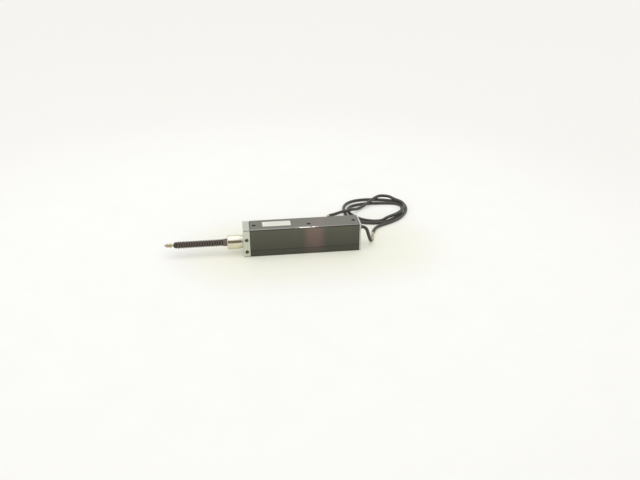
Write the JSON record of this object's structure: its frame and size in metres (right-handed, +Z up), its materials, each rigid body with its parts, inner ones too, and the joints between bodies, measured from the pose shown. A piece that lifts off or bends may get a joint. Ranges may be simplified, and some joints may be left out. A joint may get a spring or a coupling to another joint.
{
  "type": "linear gauge sensor",
  "caption": "Slim box-shaped linear gauge: round clamping stem, rubber bellows over a sprung spindle with a contact point, and a thin cable lying in a loose coil behind it.",
  "frame": {"origin": "under the middle of the gauge's length and width, on the surface that it lies on", "axes": "+X along the spindle from the contact point towards the cable outlet, +Y across the housing, +Z up from the side it lies on to the screwed cover"},
  "size_m": [0.2833, 0.1356, 0.0313],
  "materials": {
    "cast_aluminium": "satin",
    "black_anodised": "satin anodised",
    "black_rubber": "matt",
    "dark_steel": "blackened",
    "plain_aluminium": "milled",
    "white_label": "matt film",
    "silver_plate": "satin",
    "bright_steel": "bright",
    "grey_gland": "satin",
    "brass_parts": "turned",
    "nickel_stem": "ground and polished",
    "ground_steel": "ground",
    "bellows_rubber": "matt",
    "contact_steel": "turned",
    "contact_carbide": "polished",
    "pale_plastic": "smooth",
    "scale_glass": "polished",
    "black_plastic": "matt",
    "board_green": "satin",
    "ribbon_film": "satin",
    "core_insulation": "satin",
    "cable_jacket": "satin"
  },
  "bodies": {
    "gauge_body": {"front_block": "cast_aluminium", "front_gasket": "black_rubber", "front_screws": "dark_steel", "housing": "black_anodised", "top_cover": "black_anodised", "cover_screws": "dark_steel", "cover_bars": "plain_aluminium", "blank_label": "white_label", "rear_gasket": "black_rubber", "rear_plate": "silver_plate", "rear_screws": "bright_steel", "cable_gland": "grey_gland", "gland_nut": "brass_parts", "stem": "nickel_stem", "bellows_spigot": "brass_parts", "wiper_ring": "black_rubber", "guide_tube": "ground_steel", "cage_stop_ring": "dark_steel", "stop_bumper": "black_rubber", "bellows": "bellows_rubber", "guide_rail": "plain_aluminium", "rail_screws": "dark_steel", "head_bracket": "plain_aluminium", "led_block": "black_plastic", "collimator_lens": "scale_glass", "sensor_board": "board_green", "photodiode_array": "black_plastic", "index_grating": "scale_glass", "sensor_ribbon": "ribbon_film", "main_board": "board_green", "board_parts": "black_plastic", "board_screws": "bright_steel", "return_spring": "bright_steel", "spring_anchor": "bright_steel", "cable_ferrule": "plain_aluminium", "inner_leads": "core_insulation", "cable_lead": "cable_jacket", "cable_cores": "core_insulation", "cable_run": "cable_jacket", "cable_end_cores": "core_insulation"},
    "spindle": {"spindle": "ground_steel", "contact_point": "contact_steel", "contact_ball": "contact_carbide", "carriage": "plain_aluminium", "guide_shoe": "pale_plastic", "glass_scale": "scale_glass"},
    "ball_cage": {"ball_cage": "brass_parts", "cage_balls": "bright_steel"}
  },
  "joints": [
    {"name": "spindle_slide", "type": "slide", "parent": "gauge_body", "child": "spindle", "axis": [1, 0, 0], "range_m": [0, 0.03], "stiffness_N_per_m": 25, "springref_m": -0.04, "deforming": ["bellows", "return_spring"]},
    {"name": "cage_slide", "type": "slide", "parent": "gauge_body", "child": "ball_cage", "axis": [1, 0, 0], "range_m": [0, 0.015]}
  ],
  "couplings": [
    {"joint": "cage_slide", "follows": "spindle_slide", "ratio": 0.5}
  ]
}
